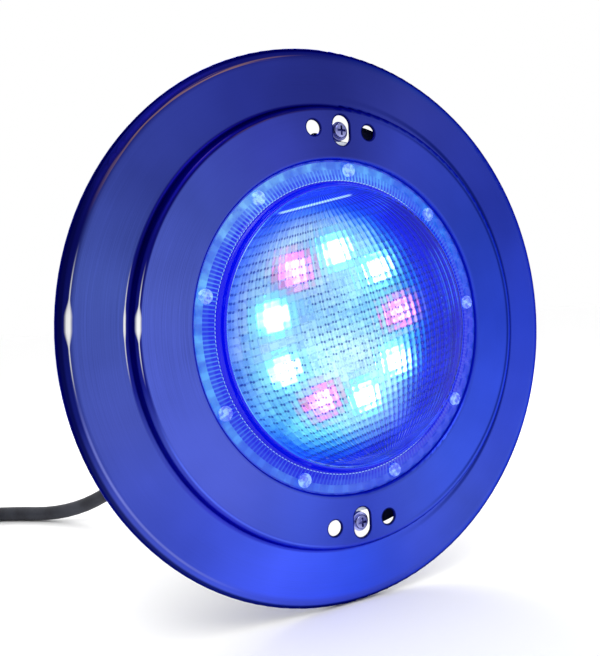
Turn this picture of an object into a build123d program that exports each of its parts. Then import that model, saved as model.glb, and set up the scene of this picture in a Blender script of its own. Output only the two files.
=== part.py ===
from build123d import *
import os
from math import asin, cos, pi, radians, sin, tan

# Underwater pool light. Millimetres. The lamp axis is Y and the light shines towards -Y; +Z is up.
# The wall plane is y = 0. A height h is measured from the wall plane towards the front, so y = -h.

# face ring, one pressed stainless sheet
ring_radius = 135.0
outer_height = 5.5          # outer flat above the wall
raised_height = 12.5        # raised flat above the wall
opening_radius = 80.0
step_offset = 17.1          # middle of the step wall outside the lamp's rim
sheet = 1.2
lip_bends = ((2.6, 50.0), (7.0, 40.0))   # radius and turn of the two arcs of the rolled outer lip
foot_bend = 2.2
top_bend = 3.0
step_angle = 78.0
edge_bend = 1.8             # turned-in edge of the opening
collar = 0.6
slot_length = 14.6          # access slots in front of the fixing screws
slot_width = 9.4
water_hole_radius = 3.75
water_hole_offset = 6.7     # outside the lamp's rim
water_hole_angle = 9.37     # either side of the vertical
hole_rounding = 0.4

# studs that clamp the lamp between the ring and the housing
stud_count = 6
stud_start = 30.0
stud_offset = 7.0           # outside the lamp's rim
stud_radius = 2.5
stud_washer_radius = 5.0
stud_washer_thickness = 1.0
stud_nut_flats = 8.0
stud_nut_height = 4.0
stud_spare = 2.0            # thread showing past the nut

# lamp rim stack, from the ring backwards
front_gasket = 1.5
lens_flange = 3.5
lens_seal = 0.8
shell_rim = 1.7
rear_gasket = 1.0
housing_flange = 1.8
lamp_radius = 88.5
gasket_width = 4.5

# lens
lens_bore = 66.5
lens_wall = 3.0
rib_outer = 75.5            # outer edge of the conical rib zone
rib_rise = 1.7
drum_foot = 70.0
drum_top = 67.5
drum_height = 6.2           # drum top in front of the rim face
drum_round = 1.0
dome_height = 10.0
boss_count = 9
boss_start = 3.0
boss_circle = 75.4
boss_radius = 3.5

# light source
led_plane_depth = 3.0       # front of the LED board behind the wall plane
board_radius = 57.0
board_thickness = 1.6
led_circle = 37.0
led_count = 9
led_size = 5.0
led_base = 1.0
led_dome_radius = 1.9
reflector_base = 4.0
reflector_lip = 0.6
cup_throat = 4.5
cup_radius = 8.5
optic_radius = 9.2
optic_thickness = 1.6

# heat sink and driver
sink_plate = 3.6
sink_clearance = 0.5        # round the heat sink inside the lamp shell
fin_thickness = 2.0
fin_pitch = 10.0
fin_count = 8
fin_depth = 26.0
fin_circle = 39.0
board_screw_count = 3
board_screw_start = 60.0
board_screw_circle = 61.5
board_screw_grip = 4.0      # thread in the lamp shell's ledge
small_screw_radius = 1.5
small_head_radius = 2.8
small_head_height = 2.0
driver_gap = 30.0           # heat sink plate to driver board
driver_radius = 48.0
standoff_count = 3
standoff_circle = 43.0
standoff_bore = 8.0
standoff_radius = 2.5
lead_radius = 1.0
lead_hole_radius = 2.5
lead_spread = 5.0

# lamp shell
shell_radius = 70.0
shell_wall = 2.5
ledge_radius = 58.0         # opening in the ledge that carries the heat sink
ledge_depth = 5.0
cone_depth = 50.0
cone_radius = 50.0
neck_radius = 44.0
neck_depth = 57.0
shell_depth = 67.0

# terminals on the back of the lamp
terminal_spread = 14.0      # either side of the lamp axis
terminal_radius = 4.0
terminal_flange_radius = 6.0
terminal_flange = 2.0
terminal_length = 7.5       # behind the lamp shell
terminal_bore_radius = 2.05
terminal_screw_radius = 2.0
lug_thickness = 1.0
lug_radius = 4.6
lug_barrel_radius = 2.2
lug_barrel_end = 12.0       # below the terminal

# housing
flange_reach = 12.5         # outside the lamp's rim
housing_inset = 0.5         # inside the lamp's rim
housing_wall = 2.5
housing_shoulder = 10.0
housing_taper_radius = 79.0
housing_back_radius = 66.0
housing_depth = 92.5
housing_corner = 13.0
notch_half_width = 16.0     # cut-outs of the flange at the fixing screws
notch_clearance = 3.0       # outside the lamp's rim
ear_half_width = 5.0
screw_boss_radius = 4.4
screw_boss_height = 5.5

# fixing screws
screw_offset = 5.4          # outside the lamp's rim
screw_radius = 2.5          # thread behind the clip
shank_relief = 0.2          # the plain shank is thinner than the thread
screw_clearance = 0.25
screw_head_radius = 4.5
screw_head_rim = 1.2
screw_dome_radius = 3.5
screw_head_height = 3.2
screw_length = 33.3         # under the head
screw_travel = 12.0
screw_washer = 1.0
washer_clearance = 0.1
clip_thickness = 1.0
clip_radius = 4.6
clip_groove_depth = 0.4
clip_end_gap = 0.3          # left between clip and housing at full travel
recess_width = 1.1
recess_length = 4.6
recess_depth = 1.8

# cable gland
gland_drop = 30.0           # gland axis below the lamp axis
gland_thread_radius = 9.8
gland_clearance = 0.6       # round the cable
gland_flats = 24.0
locknut_height = 4.0
gland_ring_radius = 12.0
gland_ring_thickness = 1.5
gland_hex_height = 6.0
barrel_length = 10.0
insert_wall = 2.6
barrel_wall = 1.9
cap_start = 2.0             # cap nut in front of the hexagon
cap_length = 16.0
cap_end_wall = 6.0
cap_nose_radius = 8.0
cap_clearance = 0.3         # round the cable

# cable
cable_diameter = 10.0
core_radius = 1.6
core_spread = 2.2           # either side of the cable's middle
sheath_inside = 7.0         # cable sheath inside the housing
core_bend = 3.0
coil_middle = (-207.0, 250.0)
coil_radius = 55.0          # middle of the turns
coil_rows = 3               # turns side by side
coil_layers = 2
tie_count = 3
tie_start = 20.0
tie_width = 4.8
tie_thickness = 1.2
tail_end = 45.0             # free end past the coil's leftmost point
tail_drop = 5.0
ferrule_radius = 1.3
bare_core = 14.0
ferrule_length = 8.0

# what follows from those sizes
step_radius = lamp_radius + step_offset
stud_circle = lamp_radius + stud_offset
screw_circle = lamp_radius + screw_offset
water_hole_circle = lamp_radius + water_hole_offset
gasket_inner = lamp_radius - gasket_width
flange_radius = lamp_radius + flange_reach
housing_radius = lamp_radius - housing_inset
notch_floor = lamp_radius + notch_clearance
screw_bore_radius = screw_radius + screw_clearance
shank_radius = screw_radius - shank_relief
clip_groove_radius = screw_radius - clip_groove_depth
lens_front = raised_height - sheet - front_gasket
lens_back = lens_front - lens_flange
rim_front = lens_back - lens_seal
rim_back = rim_front - shell_rim
flange_front = rim_back - rear_gasket
flange_back = flange_front - housing_flange
led_plane = -led_plane_depth
reflector_front = led_plane + reflector_base
board_back = led_plane - board_thickness
sink_back = board_back - sink_plate
driver_front = sink_back - driver_gap
driver_back = driver_front - board_thickness
terminal_end = -shell_depth - terminal_length
boss_front = flange_front + screw_boss_height
head_seat = boss_front + screw_washer
clip_front = flange_back - screw_travel - clip_end_gap
housing_inner_back = -housing_depth + housing_wall
hex_front = -housing_depth - gland_ring_thickness
hex_back = hex_front - gland_hex_height
cap_back = hex_back - cap_start - cap_length
cable_radius = cable_diameter / 2
gland_bore_radius = cable_radius + gland_clearance
cap_bore_radius = cable_radius + cap_clearance
insert_radius = cable_radius + insert_wall
barrel_radius = insert_radius + barrel_wall
floor_level = -ring_radius
lying_level = floor_level + cable_radius

# Route of the cable's middle from the gland, down behind the light, along the floor and to the coil.
cable_route = [
    (0, -cap_back, -gland_drop),
    (0, -cap_back + 37, -gland_drop),
    (-8, 186, -46),
    (-28, 207, -76),
    (-53, 229, -111),
    (-85, 264, lying_level),
    (-125, 302, lying_level),
    (-184, 313, lying_level),
]


def at(x, z, h):
    """Plane that faces the front at a height above the wall."""
    return Plane(origin=(x, -h, z), x_dir=(1, 0, 0), z_dir=(0, -1, 0))


def spot(radius, angle):
    """Place on a circle about the lamp axis, clockwise from the top as seen from the front."""
    return radius * sin(radians(angle)), radius * cos(radians(angle))


def spots(radius, count, start=0.0):
    return [spot(radius, start + 360.0 * i / count) for i in range(count)]


def rod(x, z, h_back, h_front, radius):
    return extrude(at(x, z, h_back) * Circle(radius), amount=h_front - h_back)


def tube(x, z, h_back, h_front, outer, inner):
    return rod(x, z, h_back, h_front, outer) - rod(x, z, h_back, h_front, inner)


def block(x, z, h_back, h_front, width, height):
    return extrude(at(x, z, h_back) * Rectangle(width, height), amount=h_front - h_back)


def hexagon(x, z, h_back, h_front, flats, bore):
    prism = extrude(at(x, z, h_back) * RegularPolygon(flats / 2, 6, major_radius=False), h_front - h_back)
    return prism - rod(x, z, h_back, h_front, bore)


def corner(radius_height):
    radius, height = radius_height
    return (radius, -height)


def turned(*points):
    """Solid of revolution about the lamp axis from (radius, height) corners."""
    return revolve(make_face(Polyline([corner(p) for p in points], close=True)), Axis.Y)


def write(name, shape):
    parts = shape if isinstance(shape, list) else [shape]
    solids = [solid for part in parts for solid in part.solids()]
    product = solids[0] if len(solids) == 1 else Compound(children=solids)
    product.label = name
    export_step(product, os.path.join("parts", name + ".step"))
    print(f"{name}: {len(solids)} solids, {sum(s.volume for s in solids):.0f} mm3")


# face ring

def pressed_section(behind):
    """Lines and arcs of the sheet from the wall rim inwards, a distance behind its front skin."""
    step, first = radians(step_angle), radians(lip_bends[0][1])
    bends = foot_bend + top_bend
    wall = (raised_height - outer_height - bends * (1 - cos(step))) / sin(step)
    step_reach = bends * sin(step) + wall * cos(step)
    small, large = lip_bends[0][0], lip_bends[1][0]
    skirt = outer_height - small * sin(first) - large * (1 - sin(first))
    lip_reach = small * (1 - cos(first)) + large * cos(first)
    outer_flat = ring_radius - lip_reach - step_radius - step_reach / 2
    raised_flat = step_radius - step_reach / 2 - opening_radius - edge_bend
    moves = [(skirt, 0, 0), (0, small, -lip_bends[0][1]), (0, large, -lip_bends[1][1]), (outer_flat, 0, 0),
             (0, foot_bend, step_angle), (wall, 0, 0), (0, top_bend, -step_angle),
             (raised_flat, 0, 0), (0, edge_bend, -90.0), (collar, 0, 0)]
    point, heading, pieces = Vector(ring_radius - behind, 0), Vector(0, -1), []
    for length, radius, turn in moves:
        if length:
            piece = Line(point, point + heading * length)
        else:
            piece = JernArc(point, heading, radius + (behind if turn > 0 else -behind), turn)
        pieces.append(piece)
        point, heading = piece @ 1, piece % 1
    return pieces


def face_ring():
    front, back = pressed_section(0.0), pressed_section(sheet)
    rim = Line((ring_radius, 0), (ring_radius - sheet, 0))
    edge = Line(front[-1] @ 1, back[-1] @ 1)
    ring = revolve(make_face(Curve() + front + back + [rim, edge]), Axis.Y)
    low, high = raised_height - 2 * sheet, raised_height + sheet
    for side in (1, -1):
        slot = at(0, side * screw_circle, low) * SlotOverall(slot_length, slot_width, rotation=90)
        ring -= extrude(slot, amount=high - low)
        for angle in (-water_hole_angle, water_hole_angle):
            x, z = spot(water_hole_circle, angle)
            ring -= rod(x, side * z, low, high, water_hole_radius)
    near = 0.01
    front_edges = ring.edges().filter_by_position(Axis.Y, -raised_height - near, -raised_height + near)
    hole_edges = [edge for edge in front_edges if edge.length < opening_radius]
    return fillet(hole_edges, hole_rounding)


def stud_group(make):
    return [make(x, z) for x, z in spots(stud_circle, stud_count, stud_start)]


def write_ring():
    washer_back = flange_back - stud_washer_thickness
    nut_back = washer_back - stud_nut_height
    stud_back = nut_back - stud_spare
    write("face_ring", face_ring())
    write("ring_studs", stud_group(lambda x, z: rod(x, z, stud_back, raised_height - sheet, stud_radius)))
    write("stud_washers", stud_group(
        lambda x, z: tube(x, z, washer_back, flange_back, stud_washer_radius, stud_radius)))
    write("stud_nuts", stud_group(
        lambda x, z: hexagon(x, z, nut_back, washer_back, stud_nut_flats, stud_radius)))


# lens and seals

def crown(edge_radius, edge_height, top_height):
    """Arc of a dome's section, from its edge to the lamp axis."""
    rise = top_height - edge_height
    radius = (edge_radius ** 2 + rise ** 2) / (2 * rise)
    half = asin(edge_radius / radius) / 2
    middle = (radius * sin(half), top_height - radius * (1 - cos(half)))
    return ThreePointArc(corner((edge_radius, edge_height)), corner(middle), corner((0, top_height)))


def lens():
    drum_face = lens_front + drum_height
    top = drum_face + dome_height
    edge = drum_top - drum_round
    inner_edge, inner_face = edge - lens_wall, drum_face - lens_wall
    outside = [(lamp_radius, lens_back), (lamp_radius, lens_front), (rib_outer, lens_front),
               (drum_foot, lens_front + rib_rise), (drum_top, drum_face - drum_round), (edge, drum_face)]
    inside = [(inner_edge, inner_face), (lens_bore, lens_front - drum_round), (lens_bore, lens_back), outside[0]]
    lines = [Line(corner(a), corner(b)) for a, b in zip(outside, outside[1:])]
    lines += [Line(corner(a), corner(b)) for a, b in zip(inside, inside[1:])]
    lines += [crown(edge, drum_face, top), crown(inner_edge, inner_face, top - lens_wall)]
    lines.append(Line(corner((0, top)), corner((0, top - lens_wall))))
    body = revolve(make_face(Curve() + lines), Axis.Y)
    for x, z in spots(boss_circle, boss_count, boss_start):
        body += rod(x, z, lens_front - drum_round, lens_front + rib_rise, boss_radius)
    return body


def write_lens():
    seal_inner = shell_radius + shell_wall
    write("front_gasket", tube(0, 0, lens_front, lens_front + front_gasket, lamp_radius, gasket_inner))
    write("lens", lens())
    write("lens_seal", tube(0, 0, rim_front, lens_back, lamp_radius, seal_inner))
    write("rear_gasket", tube(0, 0, flange_front, rim_back, lamp_radius, gasket_inner))


# light source

def led(x, z):
    base = block(x, z, led_plane, led_plane + led_base, led_size, led_size)
    return base + at(x, z, led_plane + led_base) * Sphere(led_dome_radius, 0, 90, 360, align=None)


def reflector():
    """White plate over the LED board, with a conical cup round each LED and a sloping edge."""
    slope_top = lens_back - drum_round
    edge = lens_bore - sink_clearance
    body = turned((0, led_plane), (board_radius, led_plane), (edge, slope_top - reflector_lip), (edge, slope_top),
                  (edge - reflector_base / 2, slope_top), (board_radius - drum_round, reflector_front),
                  (0, reflector_front))
    cup = Cone(cup_throat, cup_radius, reflector_base, align=(Align.CENTER, Align.CENTER, Align.MIN))
    for x, z in spots(led_circle, led_count):
        body -= at(x, z, led_plane) * cup
    return body


def heat_sink():
    radius = lens_bore - sink_clearance
    body = rod(0, 0, sink_back, board_back, radius)
    for i in range(fin_count):
        x = (i - (fin_count - 1) / 2) * fin_pitch
        chord = 2 * (fin_circle ** 2 - x ** 2) ** 0.5
        body += block(x, 0, sink_back - fin_depth, sink_back, fin_thickness, chord)
    for z in (lead_spread, -lead_spread):
        body -= rod(0, z, sink_back, board_back, lead_hole_radius)
    for x, z in spots(board_screw_circle, board_screw_count, board_screw_start):
        body -= rod(x, z, sink_back, board_back, small_screw_radius)
    return body


def small_screw(x, z, seat, tip):
    """Pan-head screw from the seat under its head to its tip, which may lie behind or in front of the seat."""
    side = 1 if seat > tip else -1
    head = sorted((seat, seat + side * small_head_height))
    shank = sorted((seat, tip))
    return rod(x, z, *head, small_head_radius) + rod(x, z, *shank, small_screw_radius)


def write_light_source():
    leds = spots(led_circle, led_count)
    write("reflector", reflector())
    write("optics", [rod(x, z, reflector_front, reflector_front + optic_thickness, optic_radius)
                     for x, z in leds])
    write("led_board", rod(0, 0, board_back, led_plane, board_radius))
    for first, colour in enumerate(("green", "blue", "red")):
        write(colour + "_leds", [led(x, z) for x, z in leds[first::3]])
    write("heat_sink", heat_sink())
    write("board_screws", [small_screw(x, z, board_back, sink_back - board_screw_grip)
                           for x, z in spots(board_screw_circle, board_screw_count, board_screw_start)])


def write_driver():
    places = spots(standoff_circle, standoff_count)
    board = rod(0, 0, driver_back, driver_front, driver_radius)
    standoffs = []
    for x, z in places:
        board -= rod(x, z, driver_back, driver_front, small_screw_radius)
        pillar = rod(x, z, driver_front, sink_back, standoff_radius)
        standoffs.append(pillar - rod(x, z, driver_front, driver_front + standoff_bore, small_screw_radius))
    capacitor = rod(-16, 16, driver_back - 16, driver_back, 7)
    choke = tube(18, 15, driver_back - 8, driver_back, 9, 3.5)
    chips = [block(x, -18, driver_back - 2, driver_back, 9, 7) for x in (-16, 0, 16)]
    write("driver_standoffs", standoffs)
    write("driver_board", board)
    write("driver_parts", [capacitor, choke] + chips)
    write("driver_screws", [small_screw(x, z, driver_back, driver_front + standoff_bore) for x, z in places])
    write("led_leads", [rod(0, z, driver_front, board_back, lead_radius)
                        for z in (lead_spread, -lead_spread)])
    inner_flange = -shell_depth + shell_wall + terminal_flange
    write("terminal_leads", [rod(x, 0, inner_flange, driver_back, lead_radius)
                             for x in (terminal_spread, -terminal_spread)])


# lamp shell and terminals

def lamp_shell():
    body = turned(
        (lens_bore, rim_front), (lamp_radius, rim_front), (lamp_radius, rim_back), (shell_radius, rim_back),
        (shell_radius, sink_back - ledge_depth + drum_round), (ledge_radius + 4, sink_back - 1.5 * ledge_depth),
        (cone_radius, -cone_depth), (neck_radius, -neck_depth), (neck_radius, -shell_depth), (0, -shell_depth),
        (0, -shell_depth + shell_wall), (neck_radius - shell_wall, -shell_depth + shell_wall),
        (neck_radius - shell_wall, -neck_depth), (cone_radius - shell_wall, -cone_depth + 1),
        (ledge_radius, sink_back - ledge_depth), (ledge_radius, sink_back), (lens_bore, sink_back))
    for x, z in spots(board_screw_circle, board_screw_count, board_screw_start):
        body -= rod(x, z, sink_back - board_screw_grip, sink_back, small_screw_radius)
    for x in (terminal_spread, -terminal_spread):
        body -= rod(x, 0, -shell_depth, -shell_depth + shell_wall, terminal_radius)
    return body


def terminal(x):
    inner = -shell_depth + shell_wall
    stem = rod(x, 0, terminal_end, inner, terminal_radius)
    flange = rod(x, 0, inner, inner + terminal_flange, terminal_flange_radius)
    return stem + flange - rod(x, 0, terminal_end, -shell_depth, terminal_bore_radius)


def lug(x):
    """Crimp lug: an eye clamped on the terminal and a barrel that points down."""
    middle = terminal_end - lug_thickness / 2
    eye = rod(x, 0, terminal_end - lug_thickness, terminal_end, lug_radius)
    eye -= rod(x, 0, terminal_end - lug_thickness, terminal_end, terminal_bore_radius)
    start = Plane(origin=(x, -middle, -lug_radius + drum_round / 2), x_dir=(1, 0, 0), z_dir=(0, 0, -1))
    return eye + extrude(start * Circle(lug_barrel_radius), lug_barrel_end - lug_radius + drum_round / 2)


def terminal_screw(x):
    seat = terminal_end - lug_thickness
    head = rod(x, 0, seat - 2.5, seat, terminal_radius)
    return head + rod(x, 0, seat, -shell_depth - drum_round, terminal_screw_radius)


def core(x):
    """Insulated core from its lug down to the cable's sheath."""
    level = -terminal_end + lug_thickness / 2
    side = 1 if x > 0 else -1
    sheath_end = -housing_inner_back - sheath_inside
    path = FilletPolyline((x, level, -lug_barrel_end), (x, level, -gland_drop + 7),
                          (side * core_spread, level + 1.5, -gland_drop),
                          (side * core_spread, sheath_end, -gland_drop), radius=core_bend)
    return sweep(Plane(origin=path @ 0, z_dir=path % 0) * Circle(core_radius), path=path)


def write_shell():
    sides = (terminal_spread, -terminal_spread)
    write("lamp_shell", lamp_shell())
    write("terminals", [terminal(x) for x in sides])
    write("terminal_lugs", [lug(x) for x in sides])
    write("terminal_screws", [terminal_screw(x) for x in sides])
    write("live_core", core(terminal_spread))
    write("neutral_core", core(-terminal_spread))


# housing and fixing screws

def housing():
    inside = housing_radius - housing_wall
    body = turned(
        (gasket_inner, flange_front), (flange_radius, flange_front), (flange_radius, flange_back),
        (housing_radius, flange_back), (housing_radius, -housing_shoulder),
        (housing_taper_radius, -housing_depth + housing_corner), (housing_back_radius, -housing_depth),
        (0, -housing_depth), (0, housing_inner_back),
        (housing_back_radius - housing_wall / 2, housing_inner_back),
        (housing_taper_radius - housing_wall, -housing_depth + housing_corner + housing_wall / 2),
        (inside, -housing_shoulder), (inside, flange_back), (gasket_inner, flange_back))
    rim = tube(0, 0, flange_back, flange_front, flange_radius + housing_wall, notch_floor)
    for side in (1, -1):
        window = block(0, side * flange_radius, flange_back, flange_front, 2 * notch_half_width,
                       flange_radius)
        body -= rim & window
        ear_reach = screw_circle - gasket_inner - ear_half_width
        ear = block(0, side * (screw_circle - ear_reach / 2), flange_back, flange_front,
                    2 * ear_half_width, ear_reach)
        body += ear + rod(0, side * screw_circle, flange_back, flange_front, ear_half_width)
        body += rod(0, side * screw_circle, flange_front, boss_front, screw_boss_radius)
        body -= rod(0, side * screw_circle, flange_back, boss_front, screw_bore_radius)
    for x, z in spots(stud_circle, stud_count, stud_start):
        body -= rod(x, z, flange_back, flange_front, stud_radius)
    return body - rod(0, -gland_drop, -housing_depth, housing_inner_back, gland_thread_radius)


def fixing_screw(z):
    """Captive pan-head screw: cross recess, plain shank, a groove for its clip and the thread behind it."""
    top = head_seat + screw_head_height
    head = rod(0, z, head_seat, head_seat + screw_head_rim, screw_head_radius)
    dome = fillet(rod(0, z, head_seat, top, screw_dome_radius).edges().sort_by(Axis.Y)[0], screw_head_rim)
    clip_back = clip_front - clip_thickness
    body = head + dome + rod(0, z, clip_front, head_seat, shank_radius)
    body += rod(0, z, clip_back, clip_front, clip_groove_radius)
    body += rod(0, z, head_seat - screw_length, clip_back, screw_radius)
    for width, height in ((recess_length, recess_width), (recess_width, recess_length)):
        body -= block(0, z, top - recess_depth, top, width, height)
    return body


def clip(z):
    """Open retaining clip in the screw's groove."""
    ring = tube(0, z, clip_front - clip_thickness, clip_front, clip_radius, clip_groove_radius)
    mouth = block(0, z - clip_radius / 2, clip_front - clip_thickness, clip_front,
                  1.6 * clip_groove_radius, clip_radius)
    return ring - mouth


def write_housing():
    write("housing", housing())
    for name, z in (("top", screw_circle), ("bottom", -screw_circle)):
        write(name + "_screw", fixing_screw(z))
        write(name + "_clip", clip(z))
        write(name + "_washer", tube(0, z, boss_front, head_seat, screw_head_radius,
                                     screw_radius + washer_clearance))


# cable gland and cable

def write_gland():
    z = -gland_drop
    body = tube(0, z, hex_front, housing_inner_back + locknut_height, gland_thread_radius, gland_bore_radius)
    body += hexagon(0, z, hex_back, hex_front, gland_flats, gland_bore_radius)
    body += tube(0, z, hex_back - barrel_length, hex_back, barrel_radius, insert_radius)
    cap = hexagon(0, z, cap_back + cap_end_wall, hex_back - cap_start, gland_flats, barrel_radius)
    nose = Cone(cap_nose_radius, gland_flats / 2, cap_end_wall, align=(Align.CENTER, Align.CENTER, Align.MIN))
    cap += at(0, z, cap_back) * nose - rod(0, z, cap_back, cap_back + cap_end_wall, cap_bore_radius)
    write("gland_body", body)
    write("gland_locknut", hexagon(0, z, housing_inner_back, housing_inner_back + locknut_height,
                                   gland_flats, gland_thread_radius))
    write("gland_ring", tube(0, z, hex_front, -housing_depth, gland_ring_radius, gland_thread_radius))
    write("gland_insert", tube(0, z, cap_back + cap_end_wall, hex_back, insert_radius, cable_radius))
    write("gland_cap", cap)
    write("cable_inlet", rod(0, z, cap_back, housing_inner_back + sheath_inside, cable_radius))


def route_radii(points):
    """Bend radius at each corner: as large as the two runs beside it allow."""
    radii = []
    for before, here, after in zip(points, points[1:], points[2:]):
        run_in, run_out = Vector(here) - Vector(before), Vector(after) - Vector(here)
        half_turn = radians(run_in.get_angle(run_out)) / 2
        radii.append(0.45 * min(run_in.length, run_out.length) / tan(half_turn))
    return radii


def swept(path, radius):
    return sweep(Plane(origin=path @ 0, z_dir=path % 0) * Circle(radius), path=path)


def coil_ring():
    """Outer shape of the stored turns, raised on their ties."""
    x, y = coil_middle
    half_width = coil_rows * cable_radius
    low = floor_level + tie_thickness
    base = Plane(origin=(x, y, low)) * (Circle(coil_radius + half_width) - Circle(coil_radius - half_width))
    return extrude(base, coil_layers * cable_diameter)


def coil_tie(angle, coil):
    """Band round the section of the coil."""
    wide, tall = coil_rows * cable_diameter, coil_layers * cable_diameter
    x, y = coil_middle
    turned_to = Plane(origin=(x, y, floor_level), x_dir=(cos(radians(angle)), sin(radians(angle)), 0))
    band = Box(wide + 2 * tie_thickness, tie_width, tall + 2 * tie_thickness,
               align=(Align.CENTER, Align.CENTER, Align.MIN))
    return turned_to * (Pos(coil_radius, 0, 0) * band) - coil


def free_end(coil):
    """The cable's end past the coil, with its two ferruled cores."""
    x, y = coil_middle
    left = x - coil_radius - (coil_rows - 1) * cable_radius
    high = floor_level + tie_thickness + (coil_layers - 0.5) * cable_diameter
    start, end = Vector(left, y, high), Vector(left, y - tail_end, high - tail_drop)
    along = (end - start).normalized()
    end_face = Plane(origin=end, x_dir=(1, 0, 0), z_dir=along)
    tail = extrude(Plane(origin=start, x_dir=(1, 0, 0), z_dir=along) * Circle(cable_radius),
                   (end - start).length) - coil
    cores, ferrules = [], []
    for side in (core_spread, -core_spread):
        cores.append(extrude(end_face * Pos(side, 0, 0) * Circle(core_radius), bare_core))
        tip = Plane(origin=end_face.from_local_coords((side, 0, bare_core)), x_dir=(1, 0, 0), z_dir=along)
        ferrules.append(extrude(tip * Circle(ferrule_radius), ferrule_length))
    return tail, cores, ferrules


def write_cable():
    radii = route_radii(cable_route)
    path = FilletPolyline(*cable_route, radius=radii)
    run = swept(path, cable_radius)
    print("bend radii", [round(r) for r in radii], "length", round(path.length),
          "volume over section times length", round(run.volume / (pi * cable_radius ** 2 * path.length), 4))
    coil = coil_ring()
    tail, cores, ferrules = free_end(coil)
    write("cable", run - coil)
    write("cable_coil", coil)
    write("coil_ties", [coil_tie(tie_start + 360.0 * i / tie_count, coil) for i in range(tie_count)])
    write("cable_end", tail)
    write("end_cores", cores)
    write("end_ferrules", ferrules)


os.makedirs("parts", exist_ok=True)
write_ring()
write_lens()
write_light_source()
write_driver()
write_shell()
write_housing()
write_gland()
write_cable()
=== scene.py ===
import math
import bmesh
import bpy
from mathutils import Matrix, Vector


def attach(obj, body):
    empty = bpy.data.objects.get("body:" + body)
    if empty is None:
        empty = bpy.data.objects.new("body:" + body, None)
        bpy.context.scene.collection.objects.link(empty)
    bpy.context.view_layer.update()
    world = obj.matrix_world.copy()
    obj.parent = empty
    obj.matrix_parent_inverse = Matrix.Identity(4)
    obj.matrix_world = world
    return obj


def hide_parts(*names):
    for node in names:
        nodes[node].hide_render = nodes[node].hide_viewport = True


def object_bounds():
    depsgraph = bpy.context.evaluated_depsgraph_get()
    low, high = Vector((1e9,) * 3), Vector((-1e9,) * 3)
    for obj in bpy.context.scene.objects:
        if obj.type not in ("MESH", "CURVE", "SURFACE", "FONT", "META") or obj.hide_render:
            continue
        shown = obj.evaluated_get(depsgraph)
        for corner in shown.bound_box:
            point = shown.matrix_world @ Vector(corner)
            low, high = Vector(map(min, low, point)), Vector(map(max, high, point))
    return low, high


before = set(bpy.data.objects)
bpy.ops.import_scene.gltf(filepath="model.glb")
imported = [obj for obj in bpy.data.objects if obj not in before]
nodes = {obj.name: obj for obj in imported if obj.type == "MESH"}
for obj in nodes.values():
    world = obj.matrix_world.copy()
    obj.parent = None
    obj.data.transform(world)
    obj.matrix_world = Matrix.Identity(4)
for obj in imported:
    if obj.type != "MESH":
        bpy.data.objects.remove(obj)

# Underwater pool light. Metres; the lamp axis is Y, the light shines towards -Y and +Z is up.
# Heights are given in millimetres in front of the wall plane y = 0.

scene = bpy.context.scene
cadBox = [list(corner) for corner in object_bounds()]
mm = 0.001
fullTurn = 2 * math.pi


def polar(radius, angle, height):  # angle clockwise from the top, seen from the front
    return Vector((radius * math.sin(angle) * mm, -height * mm, radius * math.cos(angle) * mm))


def tint(red, green, blue, alpha=1.0):
    linear = [((c / 255 + 0.055) / 1.055) ** 2.4 if c > 10 else c / 255 / 12.92 for c in (red, green, blue)]
    return (*linear, alpha)


class Flow:
    def __init__(self, finish, socket):
        self.finish, self.socket = finish, socket

    def maths(self, operation, *others, flipped=False):
        values = [self, *others]
        if flipped:
            values.reverse()
        return self.finish.node("Math", {"operation": operation}, dict(enumerate(values)))

    def __add__(self, other):
        return self.maths("ADD", other)

    def __sub__(self, other):
        return self.maths("SUBTRACT", other)

    def __rsub__(self, other):
        return self.maths("SUBTRACT", other, flipped=True)

    def __mul__(self, other):
        return self.maths("MULTIPLY", other)

    def __truediv__(self, other):
        return self.maths("DIVIDE", other)

    def __rtruediv__(self, other):
        return self.maths("DIVIDE", other, flipped=True)

    def __pow__(self, other):
        return self.maths("POWER", other)

    __radd__ = __add__
    __rmul__ = __mul__

    def rise(self, low, high):
        return self.finish.node("MapRange", {"interpolation_type": "SMOOTHSTEP"},
                                {"Value": self, "From Min": low, "From Max": high})

    def band(self, low, high, soft):
        return self.rise(low - soft, low + soft) * (1 - self.rise(high - soft, high + soft))


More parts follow.
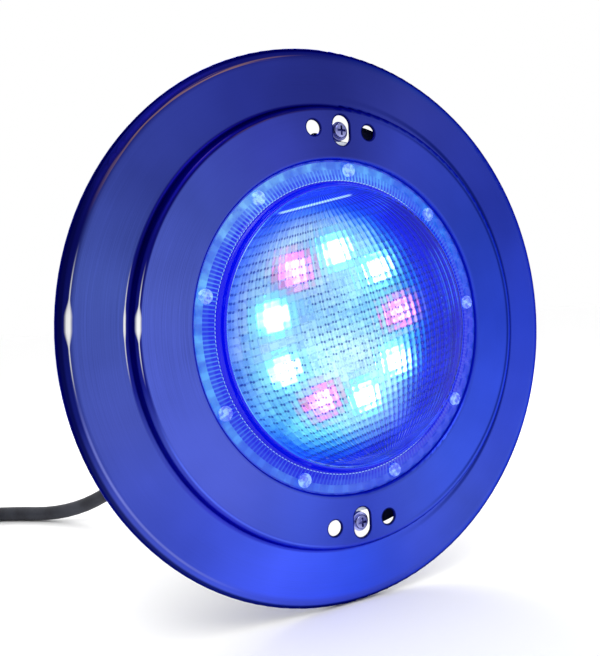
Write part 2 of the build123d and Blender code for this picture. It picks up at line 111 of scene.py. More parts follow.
class Finish:
    def __init__(self, name, constants):
        self.material = bpy.data.materials.new(name)
        self.material.use_nodes = True
        self.tree = self.material.node_tree
        self.shader = self.tree.nodes["Principled BSDF"]
        for socket, value in constants.items():
            self.shader.inputs[socket].default_value = value

    def node(self, kind, settings=None, inputs=None, output=0):
        made = self.tree.nodes.new("ShaderNode" + kind)
        for key, value in (settings or {}).items():
            if key == "stops":
                ramp = made.color_ramp
                while len(ramp.elements) > 1:
                    ramp.elements.remove(ramp.elements[-1])
                ramp.elements[0].position, ramp.elements[0].color = value[0]
                for place, colour in value[1:]:
                    ramp.elements.new(place).color = colour
            else:
                setattr(made, key, value)
        for key, value in (inputs or {}).items():
            if isinstance(value, Flow):
                self.tree.links.new(value.socket, made.inputs[key])
            else:
                made.inputs[key].default_value = value
        return Flow(self, made.outputs[output])

    def feed(self, flows):
        for socket, flow in flows.items():
            self.tree.links.new(flow.socket, self.shader.inputs[socket])
        return self

    def where(self):
        return self.node("TexCoord", output="Object")

    def axes(self, vector):
        return [self.node("SeparateXYZ", inputs={0: vector}, output=i) for i in range(3)]

    def join(self, x, y, z):
        return self.node("CombineXYZ", inputs={0: x, 1: y, 2: z})

    def noise(self, vector, scale, detail=2.0, roughness=0.5):
        return self.node("TexNoise", inputs={"Vector": vector, "Scale": scale, "Detail": detail,
                                             "Roughness": roughness}, output="Fac")

    def mix(self, factor, first, second, blend="MIX"):
        return self.node("Mix", {"data_type": "RGBA", "blend_type": blend},
                         {0: factor, 6: first, 7: second}, output=2)

    def ramp(self, factor, stops):
        return self.node("ValToRGB", {"stops": stops}, {"Fac": factor})

    def bump(self, height, strength, distance):
        return self.node("Bump", inputs={"Height": height, "Strength": strength, "Distance": distance})


# camera, floor and light

view = {"place": (-0.19145, -0.29969, 0.00513), "turn": (89.281, 3.132, -29.586), "lens": 39.512}
studio = {"floorHalf": 40.0, "floorDrop": 0.0002, "floorClouds": 1.5, "floorWhite": 0.992, "world": 1.0}
softboxes = {
    "keyLight": {"place": (-0.5, -0.7, 1.3), "size": (0.9, 0.9), "watts": 7.0},
    "backLight": {"place": (0.5, 1.1, 0.8), "size": (0.8, 0.8), "watts": 10.0},
}


def makeCamera():
    camera = bpy.data.objects.new("camera", bpy.data.cameras.new("camera"))
    scene.collection.objects.link(camera)
    camera.location = view["place"]
    camera.rotation_euler = [math.radians(angle) for angle in view["turn"]]
    camera.data.sensor_width = 36.0
    camera.data.lens = view["lens"]
    camera.data.clip_start, camera.data.clip_end = 0.01, 50.0
    scene.camera = camera


def makeWorld():
    world = bpy.data.worlds.new("studio")
    world.use_nodes = True
    background = world.node_tree.nodes["Background"]
    background.inputs["Color"].default_value = (1, 1, 1, 1)
    background.inputs["Strength"].default_value = studio["world"]
    scene.world = world
    scene.view_settings.view_transform = "Standard"


def makeLights():
    for name, box in softboxes.items():
        lamp = bpy.data.lights.new(name, "AREA")
        lamp.shape = "RECTANGLE"
        lamp.energy = box["watts"]
        lamp.size, lamp.size_y = box["size"]
        light = bpy.data.objects.new(name, lamp)
        scene.collection.objects.link(light)
        light.location = box["place"]
        light.rotation_euler = (-Vector(box["place"])).to_track_quat("-Z", "Y").to_euler()


def makeFloor():
    paint = Finish("paleFloor", {"Roughness": 0.7, "Specular IOR Level": 0.2})
    white = studio["floorWhite"]
    cloud = paint.noise(paint.where(), studio["floorClouds"])
    paint.feed({"Base Color": paint.mix(cloud, (white, white, white, 1), (1, 1, 1, 1))})
    shape = bmesh.new()
    bmesh.ops.create_grid(shape, x_segments=4, y_segments=4, size=studio["floorHalf"])
    bmesh.ops.translate(shape, verts=shape.verts, vec=(0, 0, cadBox[0][2] - studio["floorDrop"]))
    newPiece("floor", shape, paint)


def newPiece(name, shape, finish):
    mesh = bpy.data.meshes.new(name)
    shape.to_mesh(mesh)
    shape.free()
    for face in mesh.polygons:
        face.use_smooth = True
    mesh.materials.append(finish.material)
    piece = bpy.data.objects.new(name, mesh)
    scene.collection.objects.link(piece)
    return piece


makeCamera()
makeWorld()
makeLights()
makeFloor()
print("studio ready")

# cable

cable = {"diameter": 10.0, "length": 2.5, "exit": (0.0, 118.0, -30.0),
         "route": [(0, 118, -30), (0, 155, -30), (-8, 184, -46), (-28, 202, -76), (-53, 221, -110),
                   (-86, 252, -130), (-126, 292, -130), (-184, 313, -130)],
         "coilMiddle": (-207.0, 250.0), "radii": (65, 55, 45, 45, 55, 65),
         "levels": (-128.8, -128.8, -128.8, -118.8, -118.8, -118.8),
         "turns": 6.25, "perTurn": 16, "step": 0.18, "widen": 1.008,
         "tail": [(-272, 228, -121), (-272, 205, -123.8)]}


# turns of the coil in two layers, each one easing over to the radius and level of the next
def coilPoints():
    slotTurns = cable["turns"] / len(cable["radii"])
    radii, levels = cable["radii"], cable["levels"]
    points = []
    for i in range(1, int(cable["turns"] * cable["perTurn"]) + 1):
        turn = i / cable["perTurn"]
        slot = min(int(turn / slotTurns), len(radii) - 1)
        after = min(slot + 1, len(radii) - 1)
        move = max(0.0, (turn / slotTurns - slot - 1 + cable["step"]) / cable["step"])
        radius = (radii[slot] + (radii[after] - radii[slot]) * move) * cable["widen"]
        level = levels[slot] + (levels[after] - levels[slot]) * move
        angle = math.pi / 2 + fullTurn * turn
        points.append((cable["coilMiddle"][0] + radius * math.cos(angle),
                       cable["coilMiddle"][1] + radius * math.sin(angle), level))
    return points


def cableFinish():
    rubber = Finish("cableRubber", {"Specular IOR Level": 0.35})
    place = rubber.where()
    dust = rubber.noise(place, 55.0, 4.0)
    pores = rubber.noise(place, 900.0, 2.0)
    rubber.feed({"Base Color": rubber.mix(dust.rise(0.35, 0.75), tint(30, 32, 40), tint(56, 58, 68)),
                 "Roughness": 0.48 + 0.18 * dust,
                 "Normal": rubber.bump(pores, 0.25, 0.0003)})
    return rubber


def makeCable(rubber):
    curve = bpy.data.curves.new("cableRun", "CURVE")
    curve.dimensions = "3D"
    points = cable["route"] + coilPoints() + cable["tail"]
    spline = curve.splines.new("NURBS")
    spline.points.add(len(points) - 1)
    for point, place in zip(spline.points, points):
        point.co = (*[value * mm for value in place], 1)
    spline.order_u = 3
    spline.use_endpoint_u = True
    spline.resolution_u = 6
    curve.bevel_depth = cable["diameter"] / 2 * mm
    curve.bevel_resolution = 6
    curve.use_fill_caps = True
    curve.materials.append(rubber.material)
    run = bpy.data.objects.new("cableRun", curve)
    scene.collection.objects.link(run)
    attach(run, "light")
    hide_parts("cable", "cable_coil", "cable_end")


cableRubber = cableFinish()
makeCable(cableRubber)
print("cable laid")

# face ring

ringLook = {"level": 0.85, "grain": 0.22, "clouds": 12.0, "edgeRadius": 81.6, "stepRadius": 105.6,
            "lip": (128.0, 131.5), "rolledEdge": (132.2, 133.4), "glintTurn": 0.76}
# colours of painted blue light, reflections and shade, clockwise from the top, by part of a turn
outerFlat = [(0.0, tint(44, 52, 145)), (0.06, tint(54, 63, 160)), (0.16, tint(48, 63, 178)),
             (0.25, tint(48, 69, 198)), (0.33, tint(58, 78, 206)), (0.40, tint(62, 80, 188)),
             (0.45, tint(67, 87, 212)), (0.5, tint(62, 93, 248)), (0.56, tint(74, 99, 252)),
             (0.62, tint(66, 84, 208)), (0.7, tint(73, 87, 186)), (0.78, tint(74, 92, 184)),
             (0.85, tint(56, 69, 162)), (0.93, tint(46, 56, 154)), (1.0, tint(44, 52, 145))]
raisedFlat = [(0.0, tint(48, 56, 150)), (0.06, tint(57, 71, 186)), (0.17, tint(46, 68, 187)),
              (0.25, tint(47, 72, 205)), (0.3, tint(54, 80, 217)), (0.39, tint(57, 82, 207)),
              (0.45, tint(66, 87, 210)), (0.5, tint(57, 74, 196)), (0.56, tint(68, 88, 210)),
              (0.62, tint(78, 93, 205)), (0.7, tint(80, 96, 206)), (0.78, tint(84, 101, 205)),
              (0.85, tint(70, 86, 188)), (0.93, tint(62, 72, 184)), (1.0, tint(48, 56, 150))]
stepWall = [(0.0, tint(28, 32, 120)), (0.06, tint(40, 50, 144)), (0.12, tint(50, 66, 174)),
            (0.2, tint(54, 76, 204)), (0.3, tint(62, 84, 222)), (0.4, tint(70, 88, 194)),
            (0.5, tint(68, 84, 222)), (0.56, tint(58, 74, 216)), (0.62, tint(58, 66, 204)),
            (0.68, tint(58, 70, 172)), (0.72, tint(24, 30, 128)), (0.8, tint(16, 18, 116)),
            (0.86, tint(10, 8, 100)), (0.93, tint(14, 12, 104)), (1.0, tint(28, 32, 120))]
lipSide = [(0.0, tint(30, 36, 124)), (0.06, tint(48, 64, 160)), (0.14, tint(54, 68, 174)),
           (0.25, tint(60, 76, 198)), (0.33, tint(70, 90, 206)), (0.42, tint(72, 90, 204)),
           (0.5, tint(70, 86, 212)), (0.6, tint(74, 94, 226)), (0.66, tint(70, 84, 196)),
           (0.71, tint(22, 30, 118)), (0.8, tint(12, 14, 92)), (0.9, tint(16, 14, 98)),
           (1.0, tint(30, 36, 124))]
# painted dark and light reflections along the bends: turns from, to and soft ends, radii from, to and soft
# edges, share, colour
bendLines = [((0.05, 0.42, 0.06), (110.0, 112.0, 0.7), 0.85, tint(14, 26, 112)),
             ((0.05, 0.42, 0.06), (101.4, 102.6, 0.8), 0.85, tint(14, 26, 112)),
             ((0.53, 0.68, 0.03), (103.2, 104.0, 0.4), 0.8, tint(96, 122, 255)),
             ((0.60, 0.71, 0.03), (130.0, 130.9, 0.4), 0.8, tint(126, 136, 226))]
# painted gold reflections on the lip and the step at the upper left: turns, radii on the lip and on the step,
# share, colour
goldReflectionLines = {"turns": (0.84, 0.965, 0.03), "lip": (129.2, 131.2, 0.5), "step": (103.2, 104.4, 0.5),
               "share": 0.35, "colour": tint(214, 160, 96)}
# painted white highlights at one side: radius, half width at the brightest place, half width of the tails
glints = [(130.5, 1.0, 0.24), (108.0, 0.25, 0.2), (104.1, 0.8, 0.2)]
# water holes and screw slots, with painted shade on their brinks
openings = {"circle": 95.2, "angle": math.radians(9.37), "holeRadius": 3.75, "slotLevel": 93.9,
            "slotHalf": 2.6, "slotRadius": 4.7, "brink": (0.4, 0.9), "share": 0.85}


# place on a piece, with its millimetres from the lamp axis and its part of a turn clockwise from the top
def turnedPlace(finish):
    place = finish.where()
    x, y, z = finish.axes(place)
    radius = (x * x + z * z) ** 0.5 * 1000
    turn = (x.maths("ARCTAN2", z) / fullTurn).maths("FRACT")
    return place, (x, y, z), radius, turn


def circularGrain(finish, axes, radius):  # fine lines that run round the axis
    x, _, z = axes
    away = radius * 0.001
    return finish.noise(finish.join(radius * 6.0, x / away * 2.5, z / away * 2.5), 1.0, 4.0, 0.7)


def glint(radius, turn, line):
    centre, wide, thin = line
    apart = (turn - ringLook["glintTurn"]).maths("ABSOLUTE")
    near = 1 - apart.rise(0.003, 0.013)
    tails = 1 - apart.rise(0.012, 0.042)
    edge = (radius - centre).maths("ABSOLUTE") / (near * wide + thin)
    return (1 - edge.rise(0.3, 1.5)) * (near + (1 - near) * tails * 0.7)


def ringBands(steel, radius, turn):  # painted reflections and shade by angle round the ring on the two flats, the wall of the step, the lip and the opening's edge
    bend, edge = ringLook["stepRadius"], ringLook["edgeRadius"]
    outer = steel.ramp(turn, outerFlat)
    raised = steel.ramp(turn, raisedFlat)
    colour = steel.mix(radius.rise(bend - 1, bend + 1), raised, outer)
    colour = steel.mix(radius.band(bend - 2.6, bend + 2.4, 0.5), colour, steel.ramp(turn, stepWall))
    colour = steel.mix(radius.rise(*ringLook["lip"]), colour, steel.ramp(turn, lipSide))
    return steel.mix(1 - radius.rise(edge - 1.2, edge - 0.4), colour, tint(44, 66, 200))


# painted reflections along the bends, painted gold reflections, painted shade on the rolled outer edge and
# painted white highlights
def ringLines(steel, colour, radius, turn):
    for turns, radii, share, shade in bendLines:
        colour = steel.mix(turn.band(*turns) * radius.band(*radii) * share, colour, shade)
    streak = steel.noise(steel.join(radius * 0.9, turn * 9.0, 0.0), 1.0, 3.0, 0.6).rise(0.52, 0.66)
    bends = radius.band(*goldReflectionLines["lip"]) + radius.band(*goldReflectionLines["step"])
    goldShine = turn.band(*goldReflectionLines["turns"]) * bends * streak * goldReflectionLines["share"]
    colour = steel.mix(goldShine, colour, goldReflectionLines["colour"])
    # painted shade on the rolled outer edge
    colour = steel.mix(radius.rise(*ringLook["rolledEdge"]) * 0.85, colour, tint(6, 8, 70))
    for line in glints:
        colour = steel.mix(glint(radius, turn, line), colour, (1, 1, 1, 1))
    return colour


def ringBrinkShade(axes):
    x, _, z = axes
    height = z.maths("ABSOLUTE") * 1000
    side = x.maths("ABSOLUTE") * 1000
    near, far = openings["brink"]
    aside = side - openings["circle"] * math.sin(openings["angle"])
    above = height - openings["circle"] * math.cos(openings["angle"])
    hole = (aside ** 2.0 + above ** 2.0) ** 0.5 - openings["holeRadius"]
    past = ((height - openings["slotLevel"]).maths("ABSOLUTE") - openings["slotHalf"]).maths("MAXIMUM", 0.0)
    slot = (side ** 2.0 + past ** 2.0) ** 0.5 - openings["slotRadius"]
    both = 1 - hole.rise(near, far) + 1 - slot.rise(near, far)
    return both.maths("MINIMUM", 1.0) * openings["share"]


# steel whose blue colour, specular tint and their changes round the ring are painted light, reflections and
# shade
def ringFinish():
    steel = Finish("ringSteel", {"Metallic": 1.0, "Specular Tint": tint(70, 90, 220)})
    place, axes, radius, turn = turnedPlace(steel)
    grain = circularGrain(steel, axes, radius)
    clouds = steel.noise(place, ringLook["clouds"], 3.0, 0.55)
    colour = ringLines(steel, ringBands(steel, radius, turn), radius, turn)
    # painted shade on the brinks of the holes and slots
    colour = steel.mix(ringBrinkShade(axes), colour, tint(4, 4, 88))
    # the real grain is drawn stronger at the left, a painted sheen
    grainAndSheen = ringLook["grain"] * (1 + 3.0 * turn.band(0.70, 0.84, 0.03))
    shade = ringLook["level"] * (0.86 + 0.26 * clouds.rise(0.3, 0.7) + (grain - 0.5) * grainAndSheen)
    colour = steel.mix(1.0, colour, steel.join(shade, shade, shade), "MULTIPLY")
    steel.feed({"Base Color": colour,
                "Roughness": 0.2 + 0.14 * grain + 0.08 * clouds,
                "Normal": steel.bump(grain, 0.05, 0.0004)})
    return steel


def dress(finish, *names):
    for name in names:
        for holder in nodes[name].material_slots:
            holder.material = finish.material


dress(ringFinish(), "face_ring")
print("face ring finished")

# metals, plastics and rubbers

metals = {
    # the screw steel's blue is painted light of the lamp, dark and light mixed at random
    "screwSteel": {"dark": tint(24, 26, 112), "light": tint(176, 180, 236), "rough": 0.16, "scale": 520.0,
                   "nodes": ["top_screw", "bottom_screw", "ring_studs", "stud_washers", "stud_nuts",
                             "top_clip", "bottom_clip", "board_screws", "driver_screws"]},
    "turnedBrass": {"dark": tint(176, 140, 66), "light": tint(222, 190, 112), "rough": 0.28, "scale": 220.0,
                    "nodes": ["terminals", "terminal_screws", "driver_standoffs"]},
    "tinnedCopper": {"dark": tint(168, 168, 164), "light": tint(214, 214, 210), "rough": 0.3,
                     "scale": 300.0, "nodes": ["terminal_lugs", "end_ferrules"]},
    "bareCopper": {"dark": tint(170, 92, 52), "light": tint(220, 140, 92), "rough": 0.3, "scale": 300.0,
                   "nodes": ["led_leads", "terminal_leads"]},
    "plainAluminium": {"dark": tint(150, 152, 156), "light": tint(200, 202, 206), "rough": 0.4,
                       "scale": 120.0, "nodes": ["heat_sink"]},
}
mouldings = {
    "housingPlastic": {"dark": tint(22, 23, 27), "light": tint(40, 41, 47), "rough": 0.46, "cloud": 14.0,
                       "grain": 1100.0, "depth": 0.35, "nodes": ["housing"]},
    "glandNylon": {"dark": tint(26, 26, 29), "light": tint(46, 46, 52), "rough": 0.38, "cloud": 60.0,
                   "grain": 1600.0, "depth": 0.2, "nodes": ["gland_body", "gland_locknut", "gland_cap"]},
    "sealRubber": {"dark": tint(16, 16, 17), "light": tint(34, 34, 36), "rough": 0.7, "cloud": 80.0,
                   "grain": 900.0, "depth": 0.4, "nodes": ["gland_ring", "gland_insert"]},
    "shellPlastic": {"dark": tint(206, 207, 205), "light": tint(232, 232, 228), "rough": 0.35,
                     "cloud": 16.0, "grain": 1200.0, "depth": 0.12, "nodes": ["lamp_shell"]},
    "washerNylon": {"dark": tint(196, 196, 205), "light": tint(226, 226, 232), "rough": 0.45,
                    "cloud": 120.0, "grain": 1500.0, "depth": 0.2, "nodes": ["top_washer", "bottom_washer"]},
    "siliconeSeal": {"dark": tint(176, 182, 196), "light": tint(214, 220, 230), "rough": 0.6,
                     "cloud": 50.0, "grain": 800.0, "depth": 0.2,
                     "nodes": ["front_gasket", "lens_seal", "rear_gasket"]},
    "tieNylon": {"dark": tint(204, 204, 196), "light": tint(232, 232, 224), "rough": 0.42, "cloud": 90.0,
                 "grain": 1300.0, "depth": 0.2, "nodes": ["coil_ties"]},
    "brownSleeve": {"dark": tint(78, 44, 24), "light": tint(112, 68, 40), "rough": 0.5, "cloud": 90.0,
                    "grain": 1400.0, "depth": 0.2, "nodes": ["live_core", "end_cores"]},
    "blueSleeve": {"dark": tint(30, 78, 160), "light": tint(52, 108, 196), "rough": 0.5, "cloud": 90.0,
                   "grain": 1400.0, "depth": 0.2, "nodes": ["neutral_core"]},
    "boardGreen": {"dark": tint(18, 78, 44), "light": tint(34, 108, 62), "rough": 0.35, "cloud": 70.0,
                   "grain": 700.0, "depth": 0.15, "nodes": ["driver_board"]},
    "componentBlack": {"dark": tint(22, 22, 25), "light": tint(44, 44, 48), "rough": 0.5, "cloud": 60.0,
                       "grain": 900.0, "depth": 0.2, "nodes": ["driver_parts"]},
}


def metalFinish(name, look):
    metal = Finish(name, {"Metallic": 1.0})
    place = metal.where()
    marks = metal.noise(place, look["scale"], 4.0, 0.65)
    clouds = metal.noise(place, look["scale"] / 6, 2.0)
    metal.feed({"Base Color": metal.mix(clouds.rise(0.3, 0.7), look["dark"], look["light"]),
                "Roughness": look["rough"] + 0.16 * marks,
                "Normal": metal.bump(marks, 0.12, 0.0002)})
    return metal


def mouldedFinish(name, look):
    plastic = Finish(name, {"Specular IOR Level": 0.4})
    place = plastic.where()
    clouds = plastic.noise(place, look["cloud"], 4.0, 0.6)
    grain = plastic.noise(place, look["grain"], 2.0)
    plastic.feed({"Base Color": plastic.mix(clouds.rise(0.3, 0.7), look["dark"], look["light"]),
                  "Roughness": look["rough"] + 0.14 * (clouds - 0.5) + 0.08 * grain,
                  "Normal": plastic.bump(grain, look["depth"], 0.0003)})
    return plastic


for name, look in metals.items():
    dress(metalFinish(name, look), *look["nodes"])
for name, look in mouldings.items():
    dress(mouldedFinish(name, look), *look["nodes"])
dress(cableRubber, "cable_inlet")
print("metals and mouldings finished")

# light source

lamp = {"circle": 37.0, "count": 9, "order": ("green", "blue", "red"), "strength": 1.2,
        "halo": (3.5, 14.0), "core": (2.5, 7.5), "lean": 14.0, "squash": 0.82}
# spot of each LED colour: the shares of halo and core are a plain part and a part that follows the streaks
spots = {
    "green": {"halo": tint(150, 252, 255), "haloShare": (1.0, 0.0),
              "core": (2.2, 2.2, 2.2, 1), "coreShare": (0.6, 0.4)},
    "blue": {"halo": tint(140, 252, 255), "haloShare": (1.0, 0.0),
             "core": (2.2, 2.2, 2.2, 1), "coreShare": (0.6, 0.4)},
    "red": {"halo": tint(255, 40, 140), "haloShare": (0.45, 0.55),
            "core": (2.0, 1.2, 1.7, 1), "coreShare": (0.05, 0.6)},
}


# light of the LEDs over a ground colour, drawn out along leaning rows
def ledGlow(finish, axes, ground):
    x, _, z = axes
    lean = math.radians(lamp["lean"])
    along = (x * math.cos(lean) + z * math.sin(lean)) * 1000
    rise = (z * math.cos(lean) - x * math.sin(lean)) * 1000
    streaks = finish.noise(finish.join(along * 0.09, rise * 0.34, 0.0), 1.0, 2.0, 0.6).rise(0.36, 0.6)
    colour = ground
    for i in range(lamp["count"]):
        spot = spots[lamp["order"][i % len(lamp["order"])]]
        angle = fullTurn * i / lamp["count"] + lean
        first = (along - lamp["circle"] * math.sin(angle)) * lamp["squash"]
        second = rise - lamp["circle"] * math.cos(angle)
        away = (first ** 2.0 + second ** 2.0) ** 0.5
        for part in ("halo", "core"):
            plain, streaked = spot[part + "Share"]
            share = (1 - away.rise(*lamp[part])) * (plain + streaked * streaks)
            colour = finish.mix(share, colour, spot[part])
    return colour


# the reflector's glow is painted light of the LEDs: pale in the middle and deep blue at its rim, with a
# painted pale glow at the upper left and a painted pool of light below right of the middle
def reflectorFinish():
    white = Finish("litReflector", {"Roughness": 0.3, "Emission Strength": lamp["strength"],
                                    "Base Color": tint(6, 18, 70), "Specular IOR Level": 0.1})
    place = white.where()
    x, y, z = white.axes(place)
    spread = ((x + 0.012) ** 2.0 + (z - 0.001) ** 2.0) ** 0.5 * 1000
    drift = white.noise(place, 34.0, 3.0)
    facets = white.noise(white.join(x * 420.0, 0.0, z * 420.0), 1.0, 2.0, 0.7).rise(0.44, 0.6)
    ground = white.ramp(spread / 80, [(0.0, tint(176, 240, 252)), (0.45, tint(150, 236, 255)),
                                      (0.64, tint(110, 220, 250)), (0.73, tint(40, 140, 240)),
                                      (0.82, tint(4, 40, 226)), (1.0, tint(0, 3, 196))])
    upperLeftGlow = (z - x).rise(-0.01, 0.05) * drift.rise(0.25, 0.5) * (1 - spread.rise(50, 60))
    ground = white.mix(upperLeftGlow * 0.8, ground, tint(184, 208, 234))
    flood = 1 - (((x - 0.012) ** 2.0 + (z + 0.026) ** 2.0) ** 0.5 * 1000).rise(10.0, 36.0)
    ground = white.mix(flood * 0.8, ground, tint(214, 255, 255))
    patches = white.mix(drift.rise(0.32, 0.68), (0.6, 0.7, 0.85, 1), (1.35, 1.25, 1.1, 1))
    ground = white.mix(1.0, ground, patches, "MULTIPLY")
    ground = white.mix(facets * 0.3, ground, tint(10, 60, 220))
    white.feed({"Emission Color": ledGlow(white, (x, y, z), ground)})
    return white


# the optics' glow is painted light of the LEDs
def opticFinish():
    clear = Finish("litOptics", {"Roughness": 0.08, "Emission Strength": 1.7,
                                 "Base Color": tint(120, 160, 220)})
    clear.feed({"Emission Color": ledGlow(clear, clear.axes(clear.where()), tint(40, 170, 240))})
    return clear


def ledFinish(name, glow):
    chip = Finish(name, {"Roughness": 0.2, "Emission Strength": 6.0})
    flaw = chip.noise(chip.where(), 900.0)
    chip.feed({"Emission Color": chip.mix(flaw, glow, (1, 1, 1, 1)),
               "Base Color": chip.mix(flaw, glow, glow)})
    return chip


dress(reflectorFinish(), "reflector", "led_board")
dress(opticFinish(), "optics")
dress(ledFinish("redChip", tint(255, 40, 90)), "red_leds")
dress(ledFinish("greenChip", tint(60, 255, 190)), "green_leds")
dress(ledFinish("blueChip", tint(60, 120, 255)), "blue_leds")
print("light source finished")

# lens

lensShape = {"lip": 88.3, "back": 6.35, "front": 9.75, "ringIn": 75.6, "ringOut": 79.0, "windowDrop": 0.45,
             "ribFoot": 70.2, "ribRise": 1.7, "ribDepth": 0.35, "ribs": 240, "windows": 60,
             "drumTop": 16.0, "domeRadius": 66.4, "domeTop": 25.98, "domeLift": 0.1, "wall": 3.0,
             "tilt": 14.0, "columnPitch": 4.0, "rowPitch": 3.5, "fluteDepth": 0.42, "rowShare": 0.8,
             "fluteMargin": 0.9, "calmEdge": 1.5, "skinCells": (110, 150), "fluteCells": (220, 300),
             "bossCircle": 75.4, "bossRadius": 3.4, "bossLift": 0.7, "bosses": 9, "bossStart": 3.0,
             "bossSteps": ((0.0, 0.55), (-0.35, 0.25), (-0.9, 0.0), (-0.3, -0.4))}  # growth and lift


def lensRim():
    form = lensShape
    back, front, foot, drum = form["back"], form["front"], form["ribFoot"], form["drumTop"]
    crest = front + form["ribRise"]
    outline = [(form["lip"], back), (form["lip"], front), (form["ringOut"], front),
               (form["ringOut"] - 0.3, front + 0.1), (form["ringIn"] + 0.4, front + 0.1),
               (form["ringIn"], front + 0.05), (form["ringIn"] - 0.4, front + 0.2), (73.0, front + 0.85),
               (foot + 0.3, crest - 0.1), (foot, crest), (69.9, crest - 0.4), (69.2, crest - 0.3),
               (67.9, drum - 1.2), (67.6, drum - 0.5), (67.2, drum - 0.1), (66.6, drum),
               (66.55, 13.0), (66.5, 9.0), (66.5, back)]
    steps = form["ribs"] * 2
    shape = bmesh.new()
    verts = [shape.verts.new(polar(radius, 0, height)) for radius, height in outline]
    for first, second in zip(verts, verts[1:] + verts[:1]):
        shape.edges.new((first, second))
    bmesh.ops.spin(shape, geom=shape.verts[:] + shape.edges[:], cent=(0, 0, 0), axis=(0, 1, 0),
                   dvec=(0, 0, 0), angle=fullTurn, steps=steps, use_merge=True)
    for vert in shape.verts:
        radius = math.hypot(vert.co.x, vert.co.z) / mm
        step = round((math.atan2(vert.co.x, vert.co.z) / fullTurn) % 1 * steps) % steps
        onTop = -vert.co.y / mm > front + 0.02
        if onTop and foot + 0.1 < radius < form["ringIn"] - 0.1 and step % 2:
            vert.co.y += form["ribDepth"] * mm
        if onTop and form["ringIn"] + 0.2 < radius < form["ringOut"] - 0.1 and step % 8 < 5:
            vert.co.y += form["windowDrop"] * mm
    bmesh.ops.recalc_face_normals(shape, faces=shape.faces[:])
    return shape


def lensBosses():
    form = lensShape
    shape = bmesh.new()
    for i in range(form["bosses"]):
        angle = math.radians(form["bossStart"]) + fullTurn * i / form["bosses"]
        place = polar(form["bossCircle"], angle, form["front"] + form["bossLift"])
        standing = Matrix.Translation(place) @ Matrix.Rotation(math.pi / 2, 4, "X")
        made = bmesh.ops.create_circle(shape, cap_ends=True, cap_tris=False, segments=40,
                                       radius=form["bossRadius"] * mm, matrix=standing)
        face = made["verts"][0].link_faces[0]
        normal = Vector((0, -1, 0))
        for grow, lift in form["bossSteps"]:
            face = bmesh.ops.extrude_discrete_faces(shape, faces=[face])["faces"][0]
            centre = face.calc_center_median()
            for vert in face.verts:
                out = vert.co - centre
                vert.co = centre + out * (1 + grow * mm / out.length) + normal * lift * mm
    bmesh.ops.recalc_face_normals(shape, faces=shape.faces[:])
    return shape


# grid pulled to a disc whose columns meet at two poles, then crowned, and fluted on its back
def domeSkin(shape, cells, radius, drop, flutes):
    form = lensShape
    crown = form["domeTop"] - form["drumTop"] - form["domeLift"]
    ball = (form["domeRadius"] ** 2 + crown ** 2) / (2 * crown)
    made = bmesh.ops.create_grid(shape, x_segments=cells[0], y_segments=cells[1], size=1.0)
    tilt = math.radians(form["tilt"])
    for vert in made["verts"]:
        across, around = vert.co.x, vert.co.y * math.pi / 2
        p, q = across * math.cos(around) * radius, math.sin(around) * radius
        away = math.hypot(p, q)
        height = form["domeTop"] - (ball - math.sqrt(ball * ball - away * away)) - drop
        if flutes:
            column = (across * radius / form["columnPitch"]) % 1
            row = (q / form["rowPitch"]) % 1
            calm = min(1.0, (radius - away) / form["calmEdge"])
            swell = column * (1 - column) + form["rowShare"] * row * (1 - row)
            height -= form["fluteDepth"] * 4 * swell * calm
        vert.co = Vector(((p * math.cos(tilt) - q * math.sin(tilt)) * mm, -height * mm,
                          (p * math.sin(tilt) + q * math.cos(tilt)) * mm))
    bmesh.ops.remove_doubles(shape, verts=made["verts"], dist=1e-7)


def lensDome():
    form = lensShape
    shape = bmesh.new()
    domeSkin(shape, form["skinCells"], form["domeRadius"], 0.0, False)
    domeSkin(shape, form["fluteCells"], form["domeRadius"] - form["fluteMargin"], form["wall"], True)
    rims = [edge for edge in shape.edges if edge.is_boundary]
    bmesh.ops.bridge_loops(shape, edges=rims)
    bmesh.ops.recalc_face_normals(shape, faces=shape.faces[:])
    return shape


def domeFinish():  # clear glass with painted shade turning deep blue towards the rim and the upper right, painted dark lines along the borders of the moulded flutes, painted light lines on the shaded side and a painted highlight row near the top
    form = lensShape
    glass = Finish("domeGlass", {"Transmission Weight": 1.0, "IOR": 1.32, "Emission Strength": 1.0,
                                 "Specular Tint": tint(120, 150, 255)})
    place, axes, radius, _ = turnedPlace(glass)
    x, _, z = axes
    tilt = math.radians(form["tilt"])
    p = (x * math.cos(tilt) + z * math.sin(tilt)) * 1000
    q = (z * math.cos(tilt) - x * math.sin(tilt)) * 1000
    reach = form["domeRadius"] - form["fluteMargin"]
    across = p / (reach * reach - q * q).maths("MAXIMUM", 4.0) ** 0.5 * reach
    column = ((across / form["columnPitch"]).maths("FRACT") - 0.5).maths("ABSOLUTE").rise(0.32, 0.45)
    row = ((q / form["rowPitch"]).maths("FRACT") - 0.5).maths("ABSOLUTE").rise(0.30, 0.44)
    smear = glass.noise(place, 60.0, 3.0)
    patch = glass.noise(place, 30.0, 2.0).rise(0.4, 0.56)
    side = x.rise(0.012, 0.05)
    crossings = column * row * (0.3 + 0.7 * patch)
    borders = column * (0.04 + 0.3 * patch + 0.3 * side) + row * 0.2 * patch
    shadow = radius / 70 + 1.6 * x + 0.9 * z
    base = glass.ramp(shadow, [(0.0, tint(246, 251, 255)), (0.72, tint(232, 244, 255)),
                               (0.84, tint(120, 150, 250)), (0.92, tint(40, 60, 236)),
                               (1.0, tint(14, 24, 226))])
    colour = glass.mix((crossings + borders).maths("MINIMUM", 0.95), base, tint(6, 22, 120))
    bright = q.band(59.9, 60.8, 0.25) * p.band(-24.0, 15.0, 1.5) * (0.5 + 0.5 * column)
    ridges = column * shadow.rise(0.78, 0.95) * (0.1 + 0.5 * patch)
    glow = glass.mix(ridges, (0, 0, 0, 1), tint(70, 140, 250))
    glass.feed({"Base Color": colour, "Roughness": 0.012 + 0.02 * smear,
                "Emission Color": glass.mix(bright, glow, tint(190, 236, 255))})
    return glass
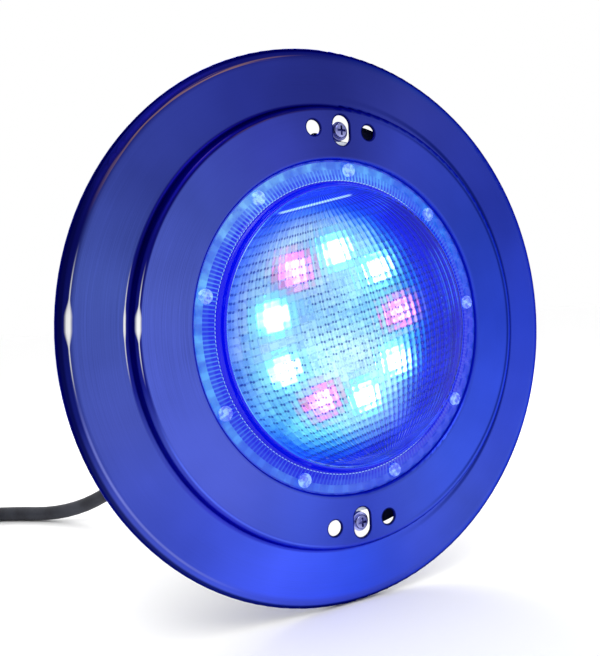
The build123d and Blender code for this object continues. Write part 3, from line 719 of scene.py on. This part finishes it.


# glass ring whose colour and glow are painted light of the lamp: painted lighter and darker by angle round
# the ring, painted shade over the ribs and windows, deep blue inside the ribs and painted glints at the foot
# of each rib
def rimFinish():
    glass = Finish("rimGlass", {"Transmission Weight": 0.12, "IOR": 1.49, "Specular IOR Level": 0.25,
                                "Emission Strength": 0.22})
    place, _, radius, turn = turnedPlace(glass)
    smear = glass.noise(place, 90.0, 3.0)
    bright = glass.ramp(turn, [(0.0, tint(110, 190, 240)), (0.12, tint(40, 140, 232)),
                               (0.25, tint(66, 80, 216)), (0.4, tint(66, 90, 220)), (0.5, tint(80, 120, 225)),
                               (0.62, tint(84, 160, 236)), (0.75, tint(100, 190, 240)),
                               (0.88, tint(130, 200, 240)), (1.0, tint(110, 190, 240))])
    window = (turn * lensShape["windows"]).maths("FRACT").band(0.04, 0.66, 0.06)
    ribStep = (turn * lensShape["ribs"]).maths("FRACT")
    rib = ribStep.band(0.16, 0.8, 0.12)
    deep = tint(2, 8, 206)
    cloudy = glass.noise(place, 60.0, 4.0, 0.6).rise(0.4, 0.6)
    bright = glass.mix(cloudy * 0.6, bright, tint(48, 84, 214))
    windows = glass.mix(window * 0.25, bright, tint(20, 44, 190))
    gloom = turn.band(0.52, 0.86, 0.05) + turn.band(0.12, 0.46, 0.05) * 0.4
    ribs = glass.mix((rib * 0.75 + gloom * 0.5).maths("MINIMUM", 0.96), bright, deep)
    topRibs = glass.mix((rib * 0.4 + gloom * 0.45).maths("MINIMUM", 0.9), bright, deep)
    ribs = glass.mix(radius.rise(72.3, 73.6), ribs, topRibs)
    colour = glass.mix(radius.rise(75.4, 75.7), ribs, windows)
    colour = glass.mix(radius.rise(79.0, 79.4), colour, tint(48, 80, 205))
    colour = glass.mix(1 - radius.rise(69.9, 70.1), colour, tint(1, 5, 210))
    dots = radius.band(69.95, 70.3, 0.08) * ribStep.band(0.3, 0.9, 0.1)
    colour = glass.mix(dots, colour, tint(190, 235, 255))
    colour = glass.mix(radius.band(66.45, 66.9, 0.06) * 0.6, colour, tint(60, 110, 250))
    glass.feed({"Base Color": glass.mix(0.3, colour, deep), "Emission Color": colour,
                "Roughness": 0.05 + 0.1 * smear})
    return glass


# clear bosses with a painted glow, deep blue with pale cyan painted highlights spread by the smear noise
def bossFinish():
    glass = Finish("bossGlass", {"Transmission Weight": 0.9, "IOR": 1.49, "Specular IOR Level": 0.5,
                                 "Emission Strength": 0.5})
    smear = glass.noise(glass.where(), 420.0, 4.0)
    glass.feed({"Base Color": glass.mix(smear, tint(190, 220, 255), tint(240, 250, 255)),
                "Emission Color": glass.mix(smear.rise(0.4, 0.62), tint(20, 60, 215), tint(170, 225, 250)),
                "Roughness": 0.06 + 0.1 * smear})
    return glass


def makeLens():
    pieces = {"lensDome": (lensDome, domeFinish), "lensRim": (lensRim, rimFinish),
              "lensBosses": (lensBosses, bossFinish)}
    for name, (shape, finish) in pieces.items():
        piece = newPiece(name, shape(), finish())
        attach(piece, "light")
        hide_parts("lens")


makeLens()
print("lens made")
